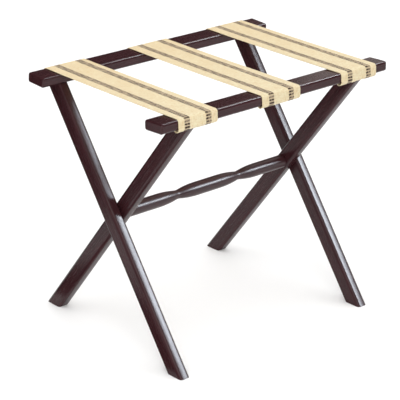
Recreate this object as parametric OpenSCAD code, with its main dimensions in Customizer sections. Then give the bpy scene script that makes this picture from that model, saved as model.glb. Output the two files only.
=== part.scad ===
// Folding luggage rack: two scissor frames of dark wood, hinged on a turned
// stretcher and held open by three fabric straps.
// X runs along the rails, Y from the front rail to the rear rail, Z up from the floor.
// The outer frame carries the rear rail, the inner frame carries the front rail.

/* [Rails] */
// Length of each top rail
rail_length = 596; // [480:1:700]
// Width of a rail's top face
rail_width = 46; // [40:0.5:60]
// Thickness of a rail
rail_thickness = 20; // [16:0.5:28]
// Rounding of a rail's long edges
rail_edge_radius = 5; // [2:0.5:7]
// Rounding of the edges at a rail's ends
rail_end_radius = 3.5; // [1:0.25:4]
// How far a rail leans in, its outer edge up, in degrees
rail_tilt = 2.7; // [0:0.1:6]
// Height of the rails' top faces above the floor
rack_height = 508; // [420:1:620]
// Distance between the rails' centre lines
rail_spacing = 334; // [280:1:400]

/* [Legs] */
// Thickness of a leg, along the rails
leg_thickness = 24; // [20:0.5:28]
// Width of a leg, across its length
leg_width = 32.5; // [28:0.5:34]
// Rounding of a leg's long edges
leg_edge_radius = 6; // [1:0.5:7]
// Rounding of the blunt corner of a foot
foot_corner_radius = 10; // [2:0.5:12]
// Distance between the front and the rear feet's centres on the floor
foot_spacing = 390; // [330:1:450]
// Distance from a rail's end to the outer leg's outer face
leg_inset = 39.5; // [37:0.5:70]
// Gap between an outer leg and the inner leg beside it
leg_gap = 0.4; // [0.3:0.1:2]

/* [Stretcher] */
// Diameter of the stretcher's long beads
bead_d = 27.2; // [24:0.2:32]
// Diameter of the two necks between the beads
neck_d = 17.8; // [12:0.2:20]
// Distance between the two necks
neck_spacing = 163; // [130:1:180]
// Length from a neck to where the bead is full
shoulder_length = 50; // [30:1:60]
// Radius of the fillet in a neck
neck_fillet = 26; // [10:1:60]
// Diameter of the round tenons at the stretcher's ends
tenon_d = 16; // [12:0.5:18]
// Depth of a tenon in the outer leg
tenon_depth = 14; // [8:0.5:17]
// Bevel at a tenon's end
tenon_bevel = 1; // [0.5:0.25:2]
// Space past a tenon's end in its blind bore
tenon_relief = 1; // [0.5:0.25:2]
// Radial clearance where an inner leg turns on its tenon
pivot_clearance = 0.06; // [0.02:0.01:0.1]
// Radial glue gap round a tenon in the outer leg
glue_gap = 0.05; // [0.02:0.01:0.1]
// Gap between the stretcher's shoulder and the inner leg
shoulder_gap = 0.3; // [0.1:0.1:1]

/* [Straps] */
// Width of a strap
strap_width = 99; // [80:1:110]
// Thickness of the strap's fabric
strap_thickness = 2.5; // [1:0.25:3]
// Distance from a rail's end to the side straps' outer edge
strap_inset = 35.5; // [31:0.5:37]
// Gap between a strap and the wood it is wrapped round
strap_clearance = 0.3; // [0.1:0.05:0.5]
// Width of the strip of strap that is turned in under a rail
strap_tail = 24; // [20:0.5:30]
// Gap between a strap's tail and the leg it is cut out for
tail_clearance = 1; // [0.5:0.25:2]

/* [Fixings] */
// Shank diameter of the screw that holds a leg to its rail
screw_d = 4; // [3:0.5:5]
// Head diameter of the screw
screw_head_d = 8; // [7:0.5:10]
// Length of the screw
screw_length = 42; // [36:1:45]
// Depth of the head's top below the rail's top face
screw_sink = 0.5; // [0.2:0.1:1]
// Distance of the screw from the leg's centre, towards the inside of the rack
screw_offset = 12; // [11:0.5:13]
// Diameter of the dowel between a leg and its rail
dowel_d = 8; // [6:0.5:8]
// Length of the dowel
dowel_length = 26; // [20:1:28]
// Distance of the dowel from the leg's centre, towards the inside of the rack
dowel_offset = 1; // [0:0.5:2]
// Radial clearance of screws, dowels and tacks in their holes
fixing_clearance = 0.05; // [0.02:0.01:0.1]
// Space past the tip of a screw, dowel or tack in its hole
fixing_relief = 1; // [0.5:0.25:2]
// Head diameter of a strap tack
tack_head_d = 7; // [5:0.5:8]
// Height of a tack's domed head
tack_head_h = 1.2; // [0.8:0.1:1.5]
// Shank diameter of a tack
tack_d = 1.6; // [1.2:0.2:2]
// Length of a tack below its head
tack_length = 12; // [9:0.5:15]
// Distance from a tail's end to the tacks' centres
tack_inset = 7; // [5:0.5:9]

/* [Hidden] */
$fn = 96;
wood = [0.24, 0.17, 0.16];
fabric = [0.93, 0.85, 0.66];
steel = [0.72, 0.72, 0.74];
pale_wood = [0.80, 0.66, 0.46];
past = 1; // how far a cutting tool runs past the surface it cuts
overshoot = 60; // how far a leg blank runs past its rail and the floor before it is cut
arc_segments = 1440; // keeps the widest arcs of the turned profile smooth
foot_arc_offset = 0.25; // how far the arc of a foot's blunt corner stands out past the corner's faces

// Where the rails and legs stand, in the Y-Z plane of the rear side
rail_y = rail_spacing / 2;
rail_z = rack_height - rail_thickness / 2 * cos(rail_tilt);
leg_top_y = rail_y + rail_thickness / 2 * sin(rail_tilt);
leg_top_z = rail_z - rail_thickness / 2 * cos(rail_tilt);
foot_y = foot_spacing / 2;
leg_run = leg_top_y + foot_y;
leg_lean = atan(leg_run / leg_top_z);
pivot_z = leg_top_z * foot_y / leg_run;
leg_below_pivot = pivot_z / cos(leg_lean);
leg_above_pivot = (leg_top_z - pivot_z) / cos(leg_lean);

// Leg centres along X
outer_leg_x = rail_length / 2 - leg_inset - leg_thickness / 2;
inner_leg_x = outer_leg_x - leg_thickness - leg_gap;

// Turned stretcher
bead_r = bead_d / 2;
neck_r = neck_d / 2;
bead_rise = bead_r - neck_r;
arcs_sum = (bead_rise * bead_rise + shoulder_length * shoulder_length) / (2 * bead_rise);
bead_arc = arcs_sum - neck_fillet;
tangent_r = bead_r - bead_arc + (arcs_sum - bead_rise) * bead_arc / arcs_sum;
stretcher_half = inner_leg_x - leg_thickness / 2 - shoulder_gap;
tenon_end = outer_leg_x - leg_thickness / 2 + tenon_depth;

// Straps: the upper rounding of the rail's outer edge carries the taut span
wrap_u = rail_width / 2 - rail_edge_radius;
wrap_v = rail_thickness / 2 - rail_edge_radius;
span_y = rail_y + wrap_u * cos(rail_tilt) - wrap_v * sin(rail_tilt);
span_z = rail_z + wrap_u * sin(rail_tilt) + wrap_v * cos(rail_tilt) + rail_edge_radius + strap_clearance;
strap_x = rail_length / 2 - strap_inset - strap_width / 2;
strap_outer_x = strap_x + strap_width / 2;
strap_inner_x = strap_x - strap_width / 2;
tail_u = rail_width / 2 - strap_tail;

// Fixings
countersink_h = (screw_head_d - screw_d) / 2;
screw_tip_d = screw_d / 4;
slot_width = screw_d / 4;
slot_depth = countersink_h / 2;
tack_u = tail_u + tack_inset;
tack_seat = rail_thickness / 2 + strap_clearance + strap_thickness + fixing_clearance;
tack_head_r = tack_head_d / 2;
tack_dome_r = (tack_head_r * tack_head_r + tack_head_h * tack_head_h) / (2 * tack_head_h);
rear_tab = outer_leg_x - leg_thickness / 2 - tail_clearance - strap_inner_x;
front_tab = inner_leg_x - leg_thickness / 2 - tail_clearance - strap_inner_x;
front_outer_tab_x = (inner_leg_x + leg_thickness / 2 + tail_clearance + strap_outer_x) / 2;
rear_side_tacks = [for (share = [1, 3, 5]) strap_inner_x + rear_tab * share / 6];
front_side_tacks = [strap_inner_x + front_tab / 4, strap_inner_x + front_tab * 3 / 4, front_outer_tab_x];
middle_tacks = [for (share = [-1, 0, 1]) share * strap_width / 3];

// Repeats a shape that is drawn for +X on the -X side too
module both_sides() {
    children();
    mirror([1, 0, 0]) children();
}

// Mirrors what is drawn for the rear rail to the front rail
module at_front() {
    mirror([0, 1, 0]) children();
}

// Extrudes a Y-Z outline along X, centred
module along_x(length) {
    rotate([90, 0, 90])
        linear_extrude(length, center = true)
            children();
}

// Rectangle with true round corners, centred
module rounded_bar(width, height, radius) {
    square([width - 2 * radius, height], center = true);
    square([width, height - 2 * radius], center = true);
    for (x = [-1, 1], y = [-1, 1])
        translate([x * (width / 2 - radius), y * (height / 2 - radius)])
            circle(radius);
}

// Y-Z place of the rear rail's section: first axis out, second axis up
module at_section() {
    translate([rail_y, rail_z])
        rotate(rail_tilt)
            children();
}

// Rear rail's own frame in space: Y out, Z up, origin at the section's centre
module at_rail() {
    translate([0, rail_y, rail_z])
        rotate([rail_tilt, 0, 0])
            children();
}

// Axis of the fixings that join a leg at x to its rail, set off inwards
module at_joint(x, offset) {
    at_rail()
        translate([x, -offset, 0])
            children();
}

module screw_hole() {
    top = rail_thickness / 2 - screw_sink;
    translate([0, 0, top - countersink_h])
        cylinder(h = countersink_h, r1 = screw_d / 2, r2 = screw_head_d / 2 + fixing_clearance);
    translate([0, 0, top])
        cylinder(h = screw_sink + past, r = screw_head_d / 2 + fixing_clearance);
    translate([0, 0, top - screw_length - fixing_relief])
        cylinder(h = screw_length + fixing_relief, r = screw_d / 2 + fixing_clearance);
}

module dowel_hole() {
    translate([0, 0, -rail_thickness / 2])
        cylinder(h = dowel_length + 2 * fixing_relief, r = dowel_d / 2 + fixing_clearance, center = true);
}

// Tack positions under the rear rail's tail line
module at_tacks(positions) {
    at_rail()
        for (x = positions)
            translate([x, tack_u, -tack_seat])
                children();
}

module tack_hole() {
    translate([0, 0, -past])
        cylinder(h = tack_length + fixing_relief + past, r = tack_d / 2 + fixing_clearance);
}

// A rail's bar in its own frame, with all its long edges and end edges rounded
module rail_bar() {
    linear_extrude(rail_thickness - 2 * rail_edge_radius, center = true)
        rounded_bar(rail_length, rail_width, rail_end_radius);
    rotate([90, 0, 0])
        linear_extrude(rail_width - 2 * rail_edge_radius, center = true)
            rounded_bar(rail_length, rail_thickness, rail_end_radius);
    for (y = [-1, 1], z = [-1, 1])
        translate([0, y * (rail_width / 2 - rail_edge_radius), z * (rail_thickness / 2 - rail_edge_radius)])
            rotate([0, 90, 0])
                rotate_extrude()
                    intersection() {
                        rounded_bar(2 * rail_edge_radius, rail_length, rail_end_radius);
                        translate([0, -rail_length / 2])
                            square([rail_edge_radius, rail_length]);
                    }
}

// A rail with the holes for its legs' fixings and its straps' tacks
module rail(leg_x, side_tacks) {
    difference() {
        at_rail() rail_bar();
        both_sides() {
            at_joint(leg_x, screw_offset) screw_hole();
            at_joint(leg_x, dowel_offset) dowel_hole();
            at_tacks(side_tacks) tack_hole();
        }
        at_tacks(middle_tacks) tack_hole();
    }
}

// What the rounding takes off a foot's blunt corner, in the Y-Z plane. The arc is set out a little, so that
// it meets the sole and the leg's side at a slight angle.
module foot_corner() {
    corner_y = -foot_y + leg_width / 2 / cos(leg_lean);
    depth = foot_corner_radius - foot_arc_offset;
    reach = depth / tan((90 + leg_lean) / 2);
    side_y = corner_y + reach * sin(leg_lean);
    side_z = reach * cos(leg_lean);
    difference() {
        polygon([[corner_y - reach, -past], [side_y + past, -past], [side_y + past, side_z],
            [side_y, side_z], [corner_y - reach, depth]]);
        translate([corner_y - reach, depth])
            circle(foot_corner_radius);
    }
}

// A leg that rises from a front foot to the rear rail, cut to the floor and the rail
module leg(leg_x) {
    difference() {
        translate([leg_x, 0, pivot_z])
            rotate([-leg_lean, 0, 0])
                translate([0, 0, -leg_below_pivot - overshoot])
                    linear_extrude(leg_below_pivot + leg_above_pivot + 2 * overshoot)
                        rounded_bar(leg_thickness, leg_width, leg_edge_radius);
        translate([leg_x, -foot_y, -overshoot])
            cube([2 * leg_thickness, foot_spacing, 2 * overshoot], center = true);
        at_rail()
            translate([leg_x, 0, overshoot - rail_thickness / 2])
                cube([2 * leg_thickness, rail_spacing, 2 * overshoot], center = true);
        translate([leg_x, 0, 0])
            along_x(2 * leg_thickness)
                foot_corner();
        at_joint(leg_x, screw_offset) screw_hole();
        at_joint(leg_x, dowel_offset) dowel_hole();
    }
}

module outer_leg() {
    difference() {
        leg(outer_leg_x);
        translate([outer_leg_x - leg_thickness / 2 - past, 0, pivot_z])
            rotate([0, 90, 0])
                cylinder(h = past + tenon_depth + tenon_relief, r = tenon_d / 2 + glue_gap);
    }
}

module inner_leg() {
    difference() {
        at_front() leg(inner_leg_x);
        translate([inner_leg_x, 0, pivot_z])
            rotate([0, 90, 0])
                cylinder(h = leg_thickness + 2 * past, r = tenon_d / 2 + pivot_clearance, center = true);
    }
}

// What the lathe takes away at one neck: bead arcs that run into the neck's fillet
module neck_cut() {
    difference() {
        translate([tangent_r, -shoulder_length])
            square([bead_r - tangent_r + past, 2 * shoulder_length]);
        for (side = [-1, 1])
            translate([bead_r - bead_arc, side * shoulder_length])
                circle(bead_arc, $fn = arc_segments);
    }
    intersection() {
        translate([neck_r + neck_fillet, 0])
            circle(neck_fillet, $fn = arc_segments / 4);
        translate([0, -neck_fillet])
            square([tangent_r, 2 * neck_fillet]);
    }
}

// Turned body, revolved round the pivot axis, with the tenons that are the rack's axle
module stretcher() {
    color(wood)
        translate([0, 0, pivot_z])
            rotate([0, 90, 0]) {
                rotate_extrude()
                    difference() {
                        translate([0, -stretcher_half])
                            square([bead_r, 2 * stretcher_half]);
                        for (side = [-1, 1])
                            translate([0, side * neck_spacing / 2])
                                neck_cut();
                    }
                rotate_extrude()
                    polygon([[0, -tenon_end], [tenon_d / 2 - tenon_bevel, -tenon_end],
                        [tenon_d / 2, tenon_bevel - tenon_end], [tenon_d / 2, tenon_end - tenon_bevel],
                        [tenon_d / 2 - tenon_bevel, tenon_end], [0, tenon_end]]);
            }
}

// The strap's wrap round the rear rail, from the tail under it to the span's start
module wrap_outline() {
    inner = 2 * strap_clearance;
    outer = inner + 2 * strap_thickness;
    difference() {
        at_section() rounded_bar(rail_width + outer, rail_thickness + outer, rail_edge_radius + outer / 2);
        at_section() rounded_bar(rail_width + inner, rail_thickness + inner, rail_edge_radius + inner / 2);
        at_section()
            translate([tail_u - rail_width, -rail_thickness])
                square([rail_width, rail_thickness * 5 / 4]);
        translate([span_y - rail_width, rail_z])
            square([rail_width, rail_thickness]);
    }
}

module strap_outline() {
    translate([-span_y, span_z])
        square([2 * span_y, strap_thickness]);
    wrap_outline();
    mirror([1, 0]) wrap_outline();
}

// Clears a leg where a side strap's tail is cut out for it, up to the rail's rounded outer edge
module tail_cutout(from_x, to_x) {
    at_rail()
        translate([from_x - tail_clearance, -rail_width / 2, -rail_thickness])
            cube([to_x - from_x + 2 * tail_clearance, rail_width - rail_edge_radius / 4, rail_thickness]);
}

module side_strap() {
    difference() {
        translate([strap_x, 0, 0])
            along_x(strap_width)
                strap_outline();
        tail_cutout(outer_leg_x - leg_thickness / 2, strap_outer_x);
        at_front() tail_cutout(inner_leg_x - leg_thickness / 2, inner_leg_x + leg_thickness / 2);
        at_tacks(rear_side_tacks) tack_hole();
        at_front() at_tacks(front_side_tacks) tack_hole();
    }
}

module strap_middle() {
    color(fabric)
        difference() {
            along_x(strap_width)
                strap_outline();
            at_tacks(middle_tacks) tack_hole();
            at_front() at_tacks(middle_tacks) tack_hole();
        }
}

// Countersunk wood screw with a cross slot, head up
module screw() {
    top = rail_thickness / 2 - screw_sink;
    tip_h = screw_d;
    difference() {
        union() {
            translate([0, 0, top - countersink_h])
                cylinder(h = countersink_h, r1 = screw_d / 2, r2 = screw_head_d / 2);
            translate([0, 0, top - screw_length + tip_h])
                cylinder(h = screw_length - tip_h - countersink_h, r = screw_d / 2);
            translate([0, 0, top - screw_length])
                cylinder(h = tip_h, r1 = screw_tip_d / 2, r2 = screw_d / 2);
        }
        for (turn = [0, 90])
            rotate(turn)
                translate([0, 0, top])
                    cube([screw_d, slot_width, 2 * slot_depth], center = true);
    }
}

module rail_screws(leg_x) {
    color(steel)
        both_sides()
            at_joint(leg_x, screw_offset) screw();
}

module rail_dowels(leg_x) {
    color(pale_wood)
        both_sides()
            at_joint(leg_x, dowel_offset)
                translate([0, 0, -rail_thickness / 2])
                    cylinder(h = dowel_length, r = dowel_d / 2, center = true);
}

// Tack with a domed head, head down
module tack() {
    tip_h = tack_d;
    rotate_extrude()
        intersection() {
            translate([0, tack_dome_r - tack_head_h])
                circle(tack_dome_r, $fn = arc_segments / 4);
            translate([0, -tack_head_h])
                square([tack_head_r + past, tack_head_h]);
        }
    cylinder(h = tack_length - tip_h, r = tack_d / 2);
    translate([0, 0, tack_length - tip_h])
        cylinder(h = tip_h, r1 = tack_d / 2, r2 = tack_d / 8);
}

module strap_tacks(side_tacks) {
    color(steel) {
        both_sides()
            at_tacks(side_tacks) tack();
        at_tacks(middle_tacks) tack();
    }
}

module rear_rail() {
    color(wood) rail(outer_leg_x, rear_side_tacks);
}

module front_rail() {
    color(wood) at_front() rail(inner_leg_x, front_side_tacks);
}

module outer_leg_left() {
    color(wood) mirror([1, 0, 0]) outer_leg();
}

module outer_leg_right() {
    color(wood) outer_leg();
}

module inner_leg_left() {
    color(wood) mirror([1, 0, 0]) inner_leg();
}

module inner_leg_right() {
    color(wood) inner_leg();
}

module strap_left() {
    color(fabric) mirror([1, 0, 0]) side_strap();
}

module strap_right() {
    color(fabric) side_strap();
}

rear_rail();
front_rail();
outer_leg_left();
outer_leg_right();
inner_leg_left();
inner_leg_right();
stretcher();
strap_left();
strap_middle();
strap_right();
rail_screws(outer_leg_x);  // rear_rail_screws
at_front() rail_screws(inner_leg_x);  // front_rail_screws
rail_dowels(outer_leg_x);  // rear_rail_dowels
at_front() rail_dowels(inner_leg_x);  // front_rail_dowels
strap_tacks(rear_side_tacks);  // rear_strap_tacks
at_front() strap_tacks(front_side_tacks);  // front_strap_tacks
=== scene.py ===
import bisect
import math

import bmesh
import bpy
from mathutils import Matrix, Vector


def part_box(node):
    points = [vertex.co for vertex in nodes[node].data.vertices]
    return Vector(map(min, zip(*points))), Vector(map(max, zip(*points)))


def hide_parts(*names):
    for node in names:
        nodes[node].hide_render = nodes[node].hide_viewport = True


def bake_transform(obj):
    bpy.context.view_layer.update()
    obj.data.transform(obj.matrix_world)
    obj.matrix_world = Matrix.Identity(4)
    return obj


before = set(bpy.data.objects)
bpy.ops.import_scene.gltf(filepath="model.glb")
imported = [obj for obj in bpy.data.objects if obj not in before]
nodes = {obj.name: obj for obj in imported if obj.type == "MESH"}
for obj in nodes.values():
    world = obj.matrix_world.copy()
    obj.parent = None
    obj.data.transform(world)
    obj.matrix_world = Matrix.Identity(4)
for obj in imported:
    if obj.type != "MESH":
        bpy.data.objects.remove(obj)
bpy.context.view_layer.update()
print("frame:", len(nodes), "nodes")

# Section of the rails that the straps are wrapped round, in metres and degrees
rail = {
    "width": 0.046,
    "thickness": 0.020,
    "edgeRadius": 0.005,
    "tilt": 2.7,
}

railLow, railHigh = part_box("rear_rail")
railY = (railLow.y + railHigh.y) / 2
railZ = (railLow.z + railHigh.z) / 2
railTilt = math.radians(rail["tilt"])


def addNode(tree, kind, place, **settings):
    node = tree.nodes.new(kind)
    node.location = place
    for name, value in settings.items():
        setattr(node, name, value)
    return node


def newGroup(name, inputs, outputs):
    group = bpy.data.node_groups.new(name, "ShaderNodeTree")
    for socketName, kind, value in inputs:
        socket = group.interface.new_socket(name=socketName, in_out="INPUT", socket_type=kind)
        if value is not None:
            socket.default_value = value
    for socketName, kind in outputs:
        group.interface.new_socket(name=socketName, in_out="OUTPUT", socket_type=kind)
    start = addNode(group, "NodeGroupInput", (-1400, 0))
    end = addNode(group, "NodeGroupOutput", (900, 0))
    return group, start, end


def addGroup(tree, group, place):
    node = addNode(tree, "ShaderNodeGroup", place)
    node.node_tree = group
    return node


def calc(tree, operation, place, *values, clamp=False):
    node = addNode(tree, "ShaderNodeMath", place, operation=operation, use_clamp=clamp)
    for index, value in enumerate(values):
        if isinstance(value, (int, float)):
            node.inputs[index].default_value = value
        else:
            tree.links.new(value, node.inputs[index])
    return node.outputs[0]


def remap(tree, value, place, fromLow, fromHigh, toLow=0.0, toHigh=1.0):
    node = addNode(tree, "ShaderNodeMapRange", place)
    tree.links.new(value, node.inputs["Value"])
    node.inputs["From Min"].default_value = fromLow
    node.inputs["From Max"].default_value = fromHigh
    node.inputs["To Min"].default_value = toLow
    node.inputs["To Max"].default_value = toHigh
    return node.outputs[0]


def mixColor(tree, place, factor, first, second):
    node = addNode(tree, "ShaderNodeMix", place, data_type="RGBA")
    # the node's colour sockets come after those of its other kinds
    for index, value in ((0, factor), (6, first), (7, second)):
        if isinstance(value, tuple):
            node.inputs[index].default_value = (*value, 1.0)
        else:
            tree.links.new(value, node.inputs[index])
    return node.outputs[2]


def addNoise(tree, place, vector, scale, detail, roughness=0.5, distortion=0.0):
    noise = addNode(tree, "ShaderNodeTexNoise", place)
    noise.inputs["Scale"].default_value = scale
    noise.inputs["Detail"].default_value = detail
    noise.inputs["Roughness"].default_value = roughness
    noise.inputs["Distortion"].default_value = distortion
    tree.links.new(vector, noise.inputs["Vector"])
    return noise.outputs["Fac"]


def drawOut(tree, place, vector, factors):
    node = addNode(tree, "ShaderNodeVectorMath", place, operation="MULTIPLY")
    node.inputs[1].default_value = factors
    tree.links.new(vector, node.inputs[0])
    return node.outputs[0]


def splitVector(tree, place, vector):
    parts = addNode(tree, "ShaderNodeSeparateXYZ", place)
    tree.links.new(vector, parts.inputs[0])
    return parts.outputs


def addBump(tree, place, height, strength, distance, normal):
    bump = addNode(tree, "ShaderNodeBump", place)
    bump.inputs["Strength"].default_value = strength
    bump.inputs["Distance"].default_value = distance
    tree.links.new(height, bump.inputs["Height"])
    tree.links.new(bump.outputs[0], normal)
    return bump


def newMaterial(name):
    material = bpy.data.materials.new(name)
    material.use_nodes = True
    return material, material.node_tree.nodes["Principled BSDF"]


noiseRange = (0.3, 0.7)       # most of a noise lies between these

# Each scale is per metre across the grain, and each "along" is its share along the grain
grain = {
    "figureScale": 110.0,
    "figureAlong": 0.07,
    "figureWarp": 0.8,
    "figureTone": 0.65,       # how much of the tone the figure gives; the fibres give the rest
    "toneRange": (0.35, 0.68),
    "fibreScale": 900.0,
    "fibreAlong": 0.03,
    "poreScale": 1500.0,
    "poreAlong": 0.05,
    "poreRange": (0.60, 0.70),
    "poreColor": (0.004, 0.003, 0.003),
    "poreShade": 0.45,
    "poreRoughness": 0.08,
    "poreDepth": 0.7,
    "roughSpread": (-0.04, 0.05),
    "relief": 0.00006,        # metres
}


def makeWoodGrain():
    # Grain runs along the vector's Z; metres in, colour, roughness and height out
    group, start, end = newGroup(
        "woodGrain",
        [("Vector", "NodeSocketVector", None), ("Dark", "NodeSocketColor", None),
         ("Light", "NodeSocketColor", None), ("Roughness", "NodeSocketFloat", 0.3)],
        [("Color", "NodeSocketColor"), ("Roughness", "NodeSocketFloat"),
         ("Height", "NodeSocketFloat")])
    links = group.links

    def streaks(y, kind, detail, warp=0.0):
        factors = (1.0, 1.0, grain[kind + "Along"])
        drawn = drawOut(group, (-1100, y), start.outputs["Vector"], factors)
        return addNoise(group, (-900, y), drawn, grain[kind + "Scale"], detail, 0.6, warp)

    figure = streaks(300, "figure", 3.0, grain["figureWarp"])
    fibres = streaks(0, "fibre", 3.0)
    pores = remap(group, streaks(-300, "pore", 1.0), (-650, -300), *grain["poreRange"])
    figureTone = remap(group, figure, (-650, 300), *grain["toneRange"], 0.0, grain["figureTone"])
    fibreTone = remap(group, fibres, (-650, 50), *grain["toneRange"], 0.0, 1.0 - grain["figureTone"])
    tone = calc(group, "ADD", (-400, 200), figureTone, fibreTone)
    wood = mixColor(group, (-150, 200), tone, start.outputs["Dark"], start.outputs["Light"])
    poreShade = calc(group, "MULTIPLY", (-150, 0), pores, grain["poreShade"])
    links.new(mixColor(group, (100, 200), poreShade, wood, grain["poreColor"]), end.inputs["Color"])
    spread = remap(group, fibres, (-400, -50), *noiseRange, *grain["roughSpread"])
    poreRough = calc(group, "MULTIPLY_ADD", (-150, -150), pores, grain["poreRoughness"], spread)
    rough = calc(group, "ADD", (300, 0), poreRough, start.outputs["Roughness"])
    links.new(rough, end.inputs["Roughness"])
    height = calc(group, "MULTIPLY_ADD", (100, -300), pores, -grain["poreDepth"], fibres)
    links.new(height, end.inputs["Height"])
    return group


def makePlainWeave():
    # Threads along both axes of the vector, one over and one under; height from 0 to 1
    group, start, end = newGroup(
        "plainWeave",
        [("Vector", "NodeSocketVector", None), ("Across Pitch", "NodeSocketFloat", 0.001),
         ("Along Pitch", "NodeSocketFloat", 0.001)],
        [("Height", "NodeSocketFloat")])
    parts = splitVector(group, (-1200, 0), start.outputs["Vector"])

    def wave(axis, pitch, y):
        turns = calc(group, "DIVIDE", (-1000, y), parts[axis], start.outputs[pitch])
        return calc(group, "SINE", (-650, y), calc(group, "MULTIPLY", (-820, y), turns, math.pi))

    across = wave("X", "Across Pitch", 200)
    along = wave("Y", "Along Pitch", -200)
    acrossHeight = calc(group, "ABSOLUTE", (-400, 100), across)
    alongHeight = calc(group, "ABSOLUTE", (-400, -100), along)
    upper = calc(group, "GREATER_THAN", (-200, 300),
                 calc(group, "MULTIPLY", (-400, 300), across, along), 0.0)
    pick = addNode(group, "ShaderNodeMix", (0, 100), data_type="FLOAT")
    for index, value in ((0, upper), (2, alongHeight), (3, acrossHeight)):
        group.links.new(value, pick.inputs[index])
    both = calc(group, "MULTIPLY", (-200, 0), acrossHeight, alongHeight)
    high = calc(group, "MULTIPLY", (200, 100), pick.outputs[0], 0.6)
    height = calc(group, "MULTIPLY_ADD", (400, 0), both, 0.4, high)
    group.links.new(height, end.inputs["Height"])
    return group


woodGrain = makeWoodGrain()
plainWeave = makePlainWeave()


lacquer = {
    "dark": (0.026, 0.0075, 0.0095),
    "light": (0.046, 0.0145, 0.0175),
    "roughness": 0.24,
    "specular": 0.25,
    "turnedRoughness": 0.34,
    "turnedSpecular": 0.5,
    "bump": 0.025,
    "crown": 0.075,           # radius of the slight crown on the legs' narrow faces
}

dowelWood = {
    "dark": (0.42, 0.27, 0.14),
    "light": (0.66, 0.48, 0.29),
    "roughness": 0.62,
    "specular": 0.4,
    "bump": 0.2,
}


def addCrown(tree, position, bump, crownAt):
    # the legs stand at equal distances left and right of the middle
    fromMiddle = calc(tree, "ABSOLUTE", (-650, -400), splitVector(tree, (-800, -400), position)["X"])
    aside = calc(tree, "SUBTRACT", (-500, -400), fromMiddle, crownAt)
    squared = calc(tree, "MULTIPLY", (-350, -400), aside, aside)
    height = calc(tree, "MULTIPLY", (-200, -450), squared, -0.5 / lacquer["crown"])
    addBump(tree, (-50, -450), height, 1.0, 1.0, bump.inputs["Normal"])


def makeWood(name, look, turn, shift=(0.0, 0.0, 0.0), crownAt=None):
    # turn brings the piece's grain to Z
    material, shader = newMaterial(name)
    tree = material.node_tree
    position = addNode(tree, "ShaderNodeTexCoord", (-1000, 0)).outputs["Object"]
    mapping = addNode(tree, "ShaderNodeMapping", (-800, 0))
    mapping.inputs["Rotation"].default_value = turn
    mapping.inputs["Location"].default_value = shift
    grained = addGroup(tree, woodGrain, (-550, 0))
    grained.inputs["Dark"].default_value = (*look["dark"], 1.0)
    grained.inputs["Light"].default_value = (*look["light"], 1.0)
    grained.inputs["Roughness"].default_value = look["roughness"]
    tree.links.new(position, mapping.inputs["Vector"])
    tree.links.new(mapping.outputs[0], grained.inputs["Vector"])
    tree.links.new(grained.outputs["Color"], shader.inputs["Base Color"])
    tree.links.new(grained.outputs["Roughness"], shader.inputs["Roughness"])
    shader.inputs["Specular IOR Level"].default_value = look["specular"]
    bump = addBump(tree, (-250, -300), grained.outputs["Height"], look["bump"], grain["relief"],
                   shader.inputs["Normal"])
    if crownAt is not None:
        addCrown(tree, position, bump, crownAt)
    return material


def middleX(name):
    low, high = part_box(name)
    return (low.x + high.x) / 2


alongX = (0.0, -math.pi / 2, 0.0)
legLean = math.radians(36.6)      # from upright
turned = dict(lacquer, roughness=lacquer["turnedRoughness"], specular=lacquer["turnedSpecular"])
woods = {
    "rear_rail": makeWood("lacqueredRail", lacquer, alongX),
    "outer_leg_left": makeWood("lacqueredOuterLeg", lacquer, (legLean, 0.0, 0.0),
                               crownAt=middleX("outer_leg_right")),
    "inner_leg_left": makeWood("lacqueredInnerLeg", lacquer, (-legLean, 0.0, 0.0),
                               crownAt=middleX("inner_leg_right")),
    "stretcher": makeWood("lacqueredTurning", turned, alongX, (0.013, 0.021, 0.4)),
    "rear_rail_dowels": makeWood("bareBeech", dowelWood, (0.0, 0.0, 0.0)),
}
woods["front_rail"] = woods["rear_rail"]
woods["outer_leg_right"] = woods["outer_leg_left"]
woods["inner_leg_right"] = woods["inner_leg_left"]
woods["front_rail_dowels"] = woods["rear_rail_dowels"]


zinc = {
    "dark": (0.36, 0.36, 0.37),
    "light": (0.62, 0.62, 0.64),
    "smooth": 0.26,
    "rough": 0.44,
    "blotchScale": 700.0,
    "relief": 0.0001,
}


def makeSteel():
    material, shader = newMaterial("zincPlatedSteel")
    tree = material.node_tree
    position = addNode(tree, "ShaderNodeTexCoord", (-900, 0)).outputs["Object"]
    blotches = addNoise(tree, (-700, 0), position, zinc["blotchScale"], 4.0)
    color = mixColor(tree, (-350, 150), blotches, zinc["dark"], zinc["light"])
    tree.links.new(color, shader.inputs["Base Color"])
    rough = remap(tree, blotches, (-350, -50), *noiseRange, zinc["smooth"], zinc["rough"])
    tree.links.new(rough, shader.inputs["Roughness"])
    shader.inputs["Metallic"].default_value = 1.0
    addBump(tree, (-350, -300), blotches, 0.1, zinc["relief"], shader.inputs["Normal"])
    return material


def applyFinish(mesh, finish):
    if not mesh.materials:
        mesh.materials.append(finish)
    for index in range(len(mesh.materials)):
        mesh.materials[index] = finish


steel = makeSteel()
for name, piece in nodes.items():
    if name in woods:
        applyFinish(piece.data, woods[name])
    elif name.endswith(("screws", "tacks")):
        applyFinish(piece.data, steel)
print("wood and steel finished")


strap = {
    "thickness": 0.0012,
    "clearance": 0.0003,
    "turnIn": 0.015,          # length of the hem, turned in between the rail and the strap
    "tailEnd": 0.001,         # how far the hem's fold lies inside the rail's centre line
    "tailThickness": 0.0025,
    "droop": 0.0026,          # how far the cloth hangs below the tacks before it turns up the rail
    "sag": 0.0008,
    "cornerSlack": 0.0002,
    "legGap": 0.001,
    "edgeRounding": 0.35,     # share of the thickness
    "columns": 34,
}

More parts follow.
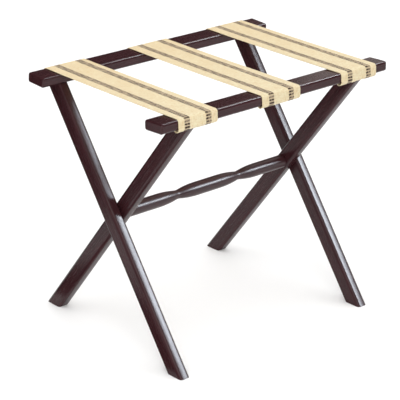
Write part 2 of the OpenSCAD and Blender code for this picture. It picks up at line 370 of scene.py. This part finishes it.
# Number of steps on each stretch of half a strap's path, from its raw end on
strapSteps = {
    "hem": 5,
    "fold": 8,
    "tail": 7,
    "bend": 10,
    "face": 4,
    "corner": 10,
    "span": 34,
}

# No two straps hang alike: how far the left edge and the right edge lie to the right,
# and the stripes at the rear rail and at the front rail
strapDrift = {
    "strap_left": (0.0037, 0.0, 0.0064, 0.0014),
    "strap_middle": (0.0, 0.0020, 0.0050, 0.0010),
    "strap_right": (0.0020, 0.0020, 0.0058, 0.0030),
}


def fromRail(u, v):
    # u outwards and v up from the rear rail's centre, in the rail's own tilt
    return (railY + u * math.cos(railTilt) - v * math.sin(railTilt),
            railZ + u * math.sin(railTilt) + v * math.cos(railTilt))


def outFromRail(y, z):
    return (y - railY) * math.cos(railTilt) + (z - railZ) * math.sin(railTilt)


def arc(centreU, centreV, startRadius, endRadius, startAngle, endAngle, steps):
    points = []
    for step in range(steps + 1):
        share = step / steps
        angle = math.radians(startAngle + (endAngle - startAngle) * share)
        radius = startRadius + (endRadius - startRadius) * share
        points.append(fromRail(centreU + radius * math.cos(angle),
                               centreV + radius * math.sin(angle)))
    return points


def tailPath(innerV, outerV, bendU):
    # The hem under the rail, its fold, and the tail from the fold to the lower bend
    half = strap["thickness"] / 2
    foldRadius = (innerV - outerV) / 2
    foldU = -strap["tailEnd"] + foldRadius + half
    points = []
    for step in range(strapSteps["hem"]):
        left = 1 - step / strapSteps["hem"]
        points.append(fromRail(foldU + strap["turnIn"] * left, innerV))
    points += arc(foldU, (innerV + outerV) / 2, foldRadius, foldRadius, 90, 270, strapSteps["fold"])
    tackEdge = (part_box("rear_strap_tacks")[1].y - railY) / math.cos(railTilt) + half
    points.append(fromRail((foldU + tackEdge) / 2, outerV))
    for step in range(strapSteps["tail"]):
        share = step / strapSteps["tail"]
        ease = share * share * (3 - 2 * share)
        points.append(fromRail(tackEdge + (bendU - tackEdge) * share, outerV - strap["droop"] * ease))
    return points


def spanPath(edgeY, edgeZ):
    points = []
    for step in range(1, strapSteps["span"] + 1):
        y = edgeY * (1 - step / strapSteps["span"])
        points.append((y, edgeZ - strap["sag"] * (1 - (y / edgeY) ** 2)))
    return points


def strapPath():
    # Middle line of one half of a strap, from the raw end under the rear rail to mid-span
    half = strap["thickness"] / 2
    faceV = rail["thickness"] / 2
    cornerU = rail["width"] / 2 - rail["edgeRadius"]
    cornerV = faceV - rail["edgeRadius"]
    innerV = -(faceV + strap["clearance"] + half)
    outerV = -(faceV + strap["clearance"] + strap["tailThickness"] - half)
    points = tailPath(innerV, outerV, cornerU)
    lowRadius = -cornerV - outerV + strap["droop"]
    tightRadius = rail["edgeRadius"] + strap["clearance"] + half
    faceRadius = tightRadius + strap["cornerSlack"]
    points += arc(cornerU, -cornerV, lowRadius, faceRadius, -90, 0, strapSteps["bend"])
    for step in range(1, strapSteps["face"]):
        share = step / strapSteps["face"]
        points.append(fromRail(cornerU + faceRadius + (tightRadius - faceRadius) * share,
                               -cornerV + 2 * cornerV * share))
    # the cloth leaves the rail where it is level
    points += arc(cornerU, cornerV, tightRadius, tightRadius, 0, 90 - rail["tilt"],
                  strapSteps["corner"])
    return points + spanPath(*points[-1])


rearPath = strapPath()
path = rearPath + [(-y, z) for y, z in reversed(rearPath[:-1])]
stations = [0.0]
for (y0, z0), (y1, z1) in zip(path, path[1:]):
    stations.append(stations[-1] + math.hypot(y1 - y0, z1 - z0))
strapLength = stations[-1]


def onPath(along):
    # along is measured from the middle of the span, the rear end first
    distance = min(max(along + strapLength / 2, 0.0), strapLength)
    index = min(max(bisect.bisect_right(stations, distance) - 1, 0), len(path) - 2)
    share = (distance - stations[index]) / (stations[index + 1] - stations[index])
    (y0, z0), (y1, z1) = path[index], path[index + 1]
    return y0 + (y1 - y0) * share, z0 + (z1 - z0) * share


def notchLength():
    # From a strap's raw end to where its lower bend clears the leg, inside the rail's face
    limit = rail["width"] / 2 - rail["edgeRadius"] / 4
    for index in range(strapSteps["hem"], len(rearPath)):
        if outFromRail(*rearPath[index]) > limit:
            return stations[index]
    return 0.0


def cutNotch(bm, low, high, lowX, highX, end):
    # Cuts the flat strap away beside a leg, and returns the area that is gone
    edge = -end * (strapLength / 2 - notchLength())
    cuts = [((x, 0, 0), (1, 0, 0)) for x in (lowX, highX) if low.x < x < high.x]
    cuts.append(((0, edge, 0), (0, 1, 0)))
    for place, normal in cuts:
        bmesh.ops.bisect_plane(bm, geom=bm.verts[:] + bm.edges[:] + bm.faces[:], dist=1e-6,
                               plane_co=place, plane_no=normal)
    waste = []
    for face in bm.faces:
        centre = face.calc_center_median()
        if lowX < centre.x < highX and (centre.y - edge) * -end > 0:
            waste.append(face)
    area = sum(face.calc_area() for face in waste)
    bmesh.ops.delete(bm, geom=waste, context="FACES")
    return area


def layOut(name, low, high, notches):
    # The flat strap with its stripes' UV in metres, bent onto the path; returns the notches' area
    centreX = (low.x + high.x) / 2
    bm = bmesh.new()
    rows = len(stations) - 1
    bmesh.ops.create_grid(bm, x_segments=strap["columns"], y_segments=rows, size=0.5)
    for vert in bm.verts:
        row = round((vert.co.y + 0.5) * rows)
        vert.co = Vector((centreX + vert.co.x * (high.x - low.x), stations[row] - strapLength / 2, 0.0))
    removedArea = 0.0
    for notch in notches:
        removedArea += cutNotch(bm, low, high, *notch)
    wovenX = middleX(name)
    rearDrift, frontDrift = strapDrift[name][2:]
    uvLayer = bm.loops.layers.uv.new("cloth")
    for face in bm.faces:
        face.smooth = True
        for loop in face.loops:
            share = 0.5 + loop.vert.co.y / (railHigh.y * 2)
            stripesX = wovenX + rearDrift + (frontDrift - rearDrift) * share
            loop[uvLayer].uv = (loop.vert.co.x - stripesX, loop.vert.co.y)
    for vert in bm.verts:
        vert.co = Vector((vert.co.x, *onPath(vert.co.y)))
    bmesh.ops.recalc_face_normals(bm, faces=bm.faces[:])
    return bm, removedArea


def thicken(piece):
    shell = piece.modifiers.new("shell", "SOLIDIFY")
    shell.thickness = strap["thickness"]
    shell.offset = 0.0
    shell.use_even_offset = True
    edges = piece.modifiers.new("edges", "BEVEL")
    edges.width = strap["thickness"] * strap["edgeRounding"]
    edges.segments = 2
    edges.limit_method = "ANGLE"
    edges.angle_limit = math.radians(60)
    depsgraph = bpy.context.evaluated_depsgraph_get()
    final = bpy.data.meshes.new_from_object(piece.evaluated_get(depsgraph))
    piece.modifiers.clear()
    piece.data = final
    final.shade_smooth()


def newPiece(name, bm):
    mesh = bpy.data.meshes.new(name)
    bm.to_mesh(mesh)
    bm.free()
    piece = bpy.data.objects.new(name, mesh)
    bpy.context.scene.collection.objects.link(piece)
    return piece


def makeStrap(name, notches):
    # notches are (lowX, highX, end) with end +1 at the rear rail and -1 at the front rail
    low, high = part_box(name)
    low.x += strapDrift[name][0]
    high.x += strapDrift[name][1]
    bm, removedArea = layOut(name, low, high, notches)
    piece = newPiece(name + "_cloth", bm)
    thicken(piece)
    piece.data.materials.append(webbing)
    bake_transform(piece)
    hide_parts(name)


# Colours, and lengths in metres; each scale is per metre
cloth = {
    "cream": (0.765, 0.72, 0.52),
    "creamRearward": (0.72, 0.605, 0.385),     # the cream is warmer towards the rear ends
    "creamDeep": (0.64, 0.49, 0.28),
    "bar": (0.035, 0.017, 0.010),
    "link": (0.40, 0.30, 0.20),
    "stripeCentre": 0.0262,
    "stripeWidth": 0.0140,
    "stripeFringe": (0.0003, -0.0015),     # where a stripe begins and is full, from its edge
    "linkShade": 0.7,
    "barPitch": 0.0058,
    "barShare": 0.56,         # of the pitch
    "barSoftness": 0.05,      # of the pitch
    "barWobble": 0.0007,
    "barDye": (0.85, 1.2),
    "warpEnd": 0.0006,        # how far the light end lies outside the stripe's centre
    "warpEndReach": (0.0004, 0.0009),
    "warpEndShade": 0.45,
    "threadPitch": 0.0009,
    "threadRatio": 1.1,       # of the pitch along the strap to that across it
    "yarnScale": 420.0,
    "cloudScale": 28.0,
    "cloudDepth": 0.3,
    "slubScale": 560.0,
    "slubDraw": 0.16,
    "slubRange": (0.42, 0.66),
    "slubDepth": 0.5,
    "fleckScale": 80.0,
    "fleckRange": (0.40, 0.58),
    "fleckFullness": (1.6, 0.5),
    "gapShadeRange": (0.1, 0.8),   # heights of the weave between which painted shade darkens its gaps
    "gapShadeDepth": 0.5,
    "rearwardSpan": (0.12, -0.24),  # where along the strap the warmer cream begins and is full
    "relief": 0.00035,
    "roughness": 0.86,
    "roughSpread": (0.08, -0.06),
    "specular": 0.2,
    "sheen": 0.12,
    "sheenRoughness": 0.5,
}


def addSlubs(tree, uv):
    # Thick and thin places in the yarns of both directions, drawn out along them
    def slubs(y, factors):
        noise = addNoise(tree, (-1500, y), drawOut(tree, (-1700, y), uv, factors),
                         cloth["slubScale"], 2.0, 0.6)
        return remap(tree, noise, (-1200, y), *cloth["slubRange"], 0.0, cloth["slubDepth"])

    return calc(tree, "ADD", (-1000, 1100), slubs(1050, (1.0, cloth["slubDraw"], 1.0)),
                slubs(1200, (cloth["slubDraw"], 1.0, 1.0)))


def addGround(tree, uv, along, woven):
    # The cream cloth, deeper in clouds and in slubs, with painted shade between the threads
    noise = addNoise(tree, (-1500, 850), uv, cloth["cloudScale"], 2.0)
    clouds = remap(tree, noise, (-900, 850), *noiseRange, 0.0, cloth["cloudDepth"])
    deepening = calc(tree, "ADD", (-750, 950), clouds, addSlubs(tree, uv))
    # the cream turns warmer towards the rear ends
    rearShare = remap(tree, along, (-900, 1350), *cloth["rearwardSpan"])
    rearCream = mixColor(tree, (-750, 1250), rearShare, cloth["cream"], cloth["creamRearward"])
    ground = mixColor(tree, (-600, 800), deepening, rearCream, cloth["creamDeep"])
    # painted shade darkens the low places between the threads
    gapShade = remap(tree, woven, (-900, -400), *cloth["gapShadeRange"], cloth["gapShadeDepth"], 0.0)
    return mixColor(tree, (-300, 700), gapShade, ground, cloth["creamDeep"])


def addStripe(tree, across):
    # Masks of the stripes, mirror images about the strap's centre line, and of the light
    # warp end that runs down the middle of each
    offset = calc(tree, "SUBTRACT", (-1400, 300), calc(tree, "ABSOLUTE", (-1600, 300), across),
                  cloth["stripeCentre"])
    fringe = [cloth["stripeWidth"] / 2 + reach for reach in cloth["stripeFringe"]]
    inStripe = remap(tree, calc(tree, "ABSOLUTE", (-1200, 300), offset), (-1000, 300), *fringe)
    fromEnd = calc(tree, "ABSOLUTE", (-1000, -80),
                   calc(tree, "SUBTRACT", (-1200, -80), offset, cloth["warpEnd"]))
    return inStripe, remap(tree, fromEnd, (-800, -80), *cloth["warpEndReach"],
                           cloth["warpEndShade"], 1.0)


def addBars(tree, uv, across, along, yarn):
    # Masks of the dark bars along the stripes, and of how full each is
    wobble = remap(tree, yarn, (-1200, 600), *noiseRange, -cloth["barWobble"], cloth["barWobble"])
    turns = calc(tree, "DIVIDE", (-820, 120), calc(tree, "ADD", (-1000, 120), along, wobble),
                 cloth["barPitch"])
    phase = calc(tree, "FRACT", (-650, 120), turns)
    fromMiddle = calc(tree, "ABSOLUTE", (-330, 120), calc(tree, "SUBTRACT", (-500, 120), phase, 0.5))
    halfBar = cloth["barShare"] / 2
    inBar = remap(tree, fromMiddle, (-150, 120), halfBar + cloth["barSoftness"],
                  halfBar - cloth["barSoftness"])
    # each dark pick is dyed a little differently, and its weft shows more or less
    pick = addNode(tree, "ShaderNodeCombineXYZ", (-650, -150))
    tree.links.new(calc(tree, "FLOOR", (-820, -100), turns), pick.inputs[0])
    tree.links.new(calc(tree, "SIGN", (-820, -200), across), pick.inputs[1])
    dye = addNode(tree, "ShaderNodeTexWhiteNoise", (-480, -150))
    tree.links.new(pick.outputs[0], dye.inputs["Vector"])
    flecks = addNoise(tree, (-1500, 1350), uv, cloth["fleckScale"], 2.0, 0.6)
    dyed = remap(tree, dye.outputs["Value"], (-300, -150), 0.0, 1.0, *cloth["barDye"])
    shown = remap(tree, flecks, (-900, -250), *cloth["fleckRange"], *cloth["fleckFullness"])
    return inBar, calc(tree, "MULTIPLY", (-250, -250), dyed, shown)


def makeWebbing():
    material, shader = newMaterial("stripedWebbing")
    tree = material.node_tree
    links = tree.links
    uv = addNode(tree, "ShaderNodeUVMap", (-2000, 0), uv_map="cloth").outputs[0]
    parts = splitVector(tree, (-1800, 200), uv)
    weave = addGroup(tree, plainWeave, (-1500, -400))
    weave.inputs["Across Pitch"].default_value = cloth["threadPitch"]
    weave.inputs["Along Pitch"].default_value = cloth["threadPitch"] * cloth["threadRatio"]
    links.new(uv, weave.inputs["Vector"])
    woven = weave.outputs["Height"]
    yarn = addNoise(tree, (-1500, 600), uv, cloth["yarnScale"], 3.0)
    ground = addGround(tree, uv, parts["Y"], woven)
    inStripe, split = addStripe(tree, parts["X"])
    inBar, fullness = addBars(tree, uv, parts["X"], parts["Y"], yarn)
    bars = calc(tree, "MULTIPLY", (50, 80), calc(tree, "MULTIPLY", (-50, 250), inStripe, inBar),
                calc(tree, "MULTIPLY", (-50, -150), split, fullness), clamp=True)
    linkShade = calc(tree, "MULTIPLY", (-200, 400), inStripe, cloth["linkShade"])
    striped = mixColor(tree, (-50, 600), linkShade, ground, cloth["link"])
    links.new(mixColor(tree, (250, 500), bars, striped, cloth["bar"]), shader.inputs["Base Color"])
    ends = [cloth["roughness"] + spread for spread in cloth["roughSpread"]]
    links.new(remap(tree, woven, (0, -100), 0.0, 1.0, *ends), shader.inputs["Roughness"])
    shader.inputs["Specular IOR Level"].default_value = cloth["specular"]
    shader.inputs["Sheen Weight"].default_value = cloth["sheen"]
    shader.inputs["Sheen Roughness"].default_value = cloth["sheenRoughness"]
    height = calc(tree, "MULTIPLY_ADD", (0, -400), yarn, 0.5, woven)
    addBump(tree, (250, -350), height, 0.5, cloth["relief"], shader.inputs["Normal"])
    return material


webbing = makeWebbing()
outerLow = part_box("outer_leg_right")[0]
innerLow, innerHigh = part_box("inner_leg_right")
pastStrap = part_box("strap_right")[1].x + 0.01      # anywhere outside the strap
rearNotch = (outerLow.x - strap["legGap"], pastStrap)
frontNotch = (innerLow.x - strap["legGap"], innerHigh.x + strap["legGap"])
makeStrap("strap_right", [(*rearNotch, 1), (*frontNotch, -1)])
makeStrap("strap_left", [(-rearNotch[1], -rearNotch[0], 1), (-frontNotch[1], -frontNotch[0], -1)])
makeStrap("strap_middle", [])
print("straps made")


studio = {
    "floorSize": 40.0,
    "floorColor": (0.93, 0.93, 0.93),
    "cardColor": (0.01, 0.01, 0.01),
    "air": (1.0, 0.98, 0.96),
    "airStrength": 0.05,
    "aim": (0.0, 0.0, 0.25),      # what every softbox faces
    "softboxes": [
        # name, place, width, height, radiance, colour, what it gives ("all", "fill" without
        # highlights, or "highlights" alone), and the pieces that it is linked to, if not all
        ("keyBox", (3.05, -3.39, 2.82), 0.8, 1.15, 54.0, (0.84, 0.92, 1.0), "highlights", "legs"),
        ("sideKeyBox", (3.60, -2.80, 2.82), 0.8, 1.15, 40.0, (0.84, 0.92, 1.0), "highlights",
         "legs"),
        ("railBox", (2.9, -0.8, 3.5), 0.9, 0.8, 50.0, (0.90, 0.95, 1.0), "highlights", "rails"),
        ("topBox", (0.0, 0.0, 4.5), 18.0, 18.0, 1.42, (1.0, 1.0, 1.0), "fill"),
        ("frontBox", (-2.2, -3.0, 2.0), 2.2, 2.2, 3.6, (1.0, 0.99, 0.97), "all"),
        ("backBox", (1.2, 0.503, 1.375), 0.9, 0.8, 1.2, (1.0, 0.98, 0.92), "highlights"),
        ("horizonBox", (2.68, 1.52, 1.075), 1.2, 0.75, 0.6, (1.0, 0.97, 0.92), "highlights"),
        ("sideBox", (-3.05, -1.85, 2.07), 0.35, 0.9, 6.0, (1.0, 0.97, 0.95), "highlights"),
    ],
    "cards": [
        # name, place, width, depth, lean, turn: black cards that only the polish mirrors, as painted
        # shade in its reflections, one standing behind the rack on its left and one lying beside its
        # left feet
        ("standingCard", (-0.401, 0.723, 0.25), 1.0, 0.5, 90.0, 43.7),
        ("lyingCard", (-0.36, 0.05, 0.002), 0.18, 0.52, 0.0, 0.0),
    ],
}

viewpoint = {
    "target": (-0.00523, 0.01324, 0.22719),
    "azimuth": -43.72,
    "elevation": 22.16,
    "distance": 3.5545,
    "roll": 1.76,
    "lens": 160.38,
}


def makePlain(name, color, roughness, specular):
    material, shader = newMaterial(name)
    shader.inputs["Base Color"].default_value = (*color, 1.0)
    shader.inputs["Roughness"].default_value = roughness
    shader.inputs["Specular IOR Level"].default_value = specular
    return material


def makeFloor():
    bm = bmesh.new()
    bmesh.ops.create_grid(bm, x_segments=2, y_segments=2, size=studio["floorSize"] / 2)
    floor = newPiece("floor", bm)
    floor.data.materials.append(makePlain("paleFloor", studio["floorColor"], 0.9, 0.1))


def addCard(black, name, place, width, depth, lean, turn):
    bm = bmesh.new()
    bmesh.ops.create_grid(bm, x_segments=1, y_segments=1, size=0.5)
    bmesh.ops.scale(bm, vec=(width, depth, 1.0), verts=bm.verts)
    for angle, axis in ((lean, "X"), (turn, "Z")):
        rotation = Matrix.Rotation(math.radians(angle), 3, axis)
        bmesh.ops.rotate(bm, matrix=rotation, verts=bm.verts)
    bmesh.ops.translate(bm, vec=place, verts=bm.verts)
    card = newPiece(name, bm)
    card.data.materials.append(black)
    card.visible_camera = False
    card.visible_diffuse = False
    card.visible_shadow = False


def gather(name, members):
    group = bpy.data.collections.new(name)
    for member in members:
        group.objects.link(bpy.data.objects[member])
    return group


def linkPieces():
    # For each linked lamp, the pieces that it lights and those that stand in its way
    legs = [name for name in nodes if "leg" in name or name == "stretcher"]
    rails = ["rear_rail", "front_rail"]
    return {
        "legs": (gather("litLegs", legs), gather("legShades", legs + ["strap_left_cloth"])),
        "rails": (gather("litRails", rails), gather("railShades", rails)),
    }


def addSoftbox(linked, name, place, width, height, radiance, color, gives, linkedTo=None):
    light = bpy.data.lights.new(name, "AREA")
    light.shape = "RECTANGLE"
    light.size = width
    light.size_y = height
    light.energy = radiance * math.pi * width * height
    light.color = color
    lamp = bpy.data.objects.new(name, light)
    lamp.visible_camera = False
    lamp.visible_diffuse = gives != "highlights"
    lamp.visible_glossy = gives != "fill"
    if linkedTo:
        lit, shades = linked[linkedTo]
        lamp.light_linking.receiver_collection = lit
        lamp.light_linking.blocker_collection = shades
    away = Vector(place) - Vector(studio["aim"])
    turn = away.to_track_quat("Z", "Y").to_matrix().to_4x4()
    lamp.matrix_world = Matrix.Translation(place) @ turn
    bpy.context.scene.collection.objects.link(lamp)


def makeCamera():
    azimuth = math.radians(viewpoint["azimuth"])
    elevation = math.radians(viewpoint["elevation"])
    roll = math.radians(viewpoint["roll"])
    back = Vector((math.sin(azimuth) * math.cos(elevation),
                   -math.cos(azimuth) * math.cos(elevation),
                   math.sin(elevation)))
    right = Vector((math.cos(azimuth), math.sin(azimuth), 0.0))
    up = back.cross(right)
    side = right * math.cos(roll) + up * math.sin(roll)
    top = up * math.cos(roll) - right * math.sin(roll)
    camera = bpy.data.cameras.new("camera")
    camera.lens = viewpoint["lens"]
    camera.clip_end = 50.0
    holder = bpy.data.objects.new("camera", camera)
    place = Vector(viewpoint["target"]) + back * viewpoint["distance"]
    holder.matrix_world = Matrix.Translation(place) @ Matrix((side, top, back)).transposed().to_4x4()
    bpy.context.scene.collection.objects.link(holder)
    bpy.context.scene.camera = holder


def makeWorld():
    world = bpy.data.worlds.new("studioAir")
    world.use_nodes = True
    background = world.node_tree.nodes["Background"]
    background.inputs["Color"].default_value = (*studio["air"], 1.0)
    background.inputs["Strength"].default_value = studio["airStrength"]
    bpy.context.scene.world = world


makeFloor()
makeWorld()
# black cards seen only in the polish, painted shade in its reflections
black = makePlain("blackCard", studio["cardColor"], 1.0, 0.0)
for card in studio["cards"]:
    addCard(black, *card)
linked = linkPieces()
for box in studio["softboxes"]:
    addSoftbox(linked, *box)
makeCamera()
bpy.context.scene.view_settings.view_transform = "Standard"
print("studio ready")
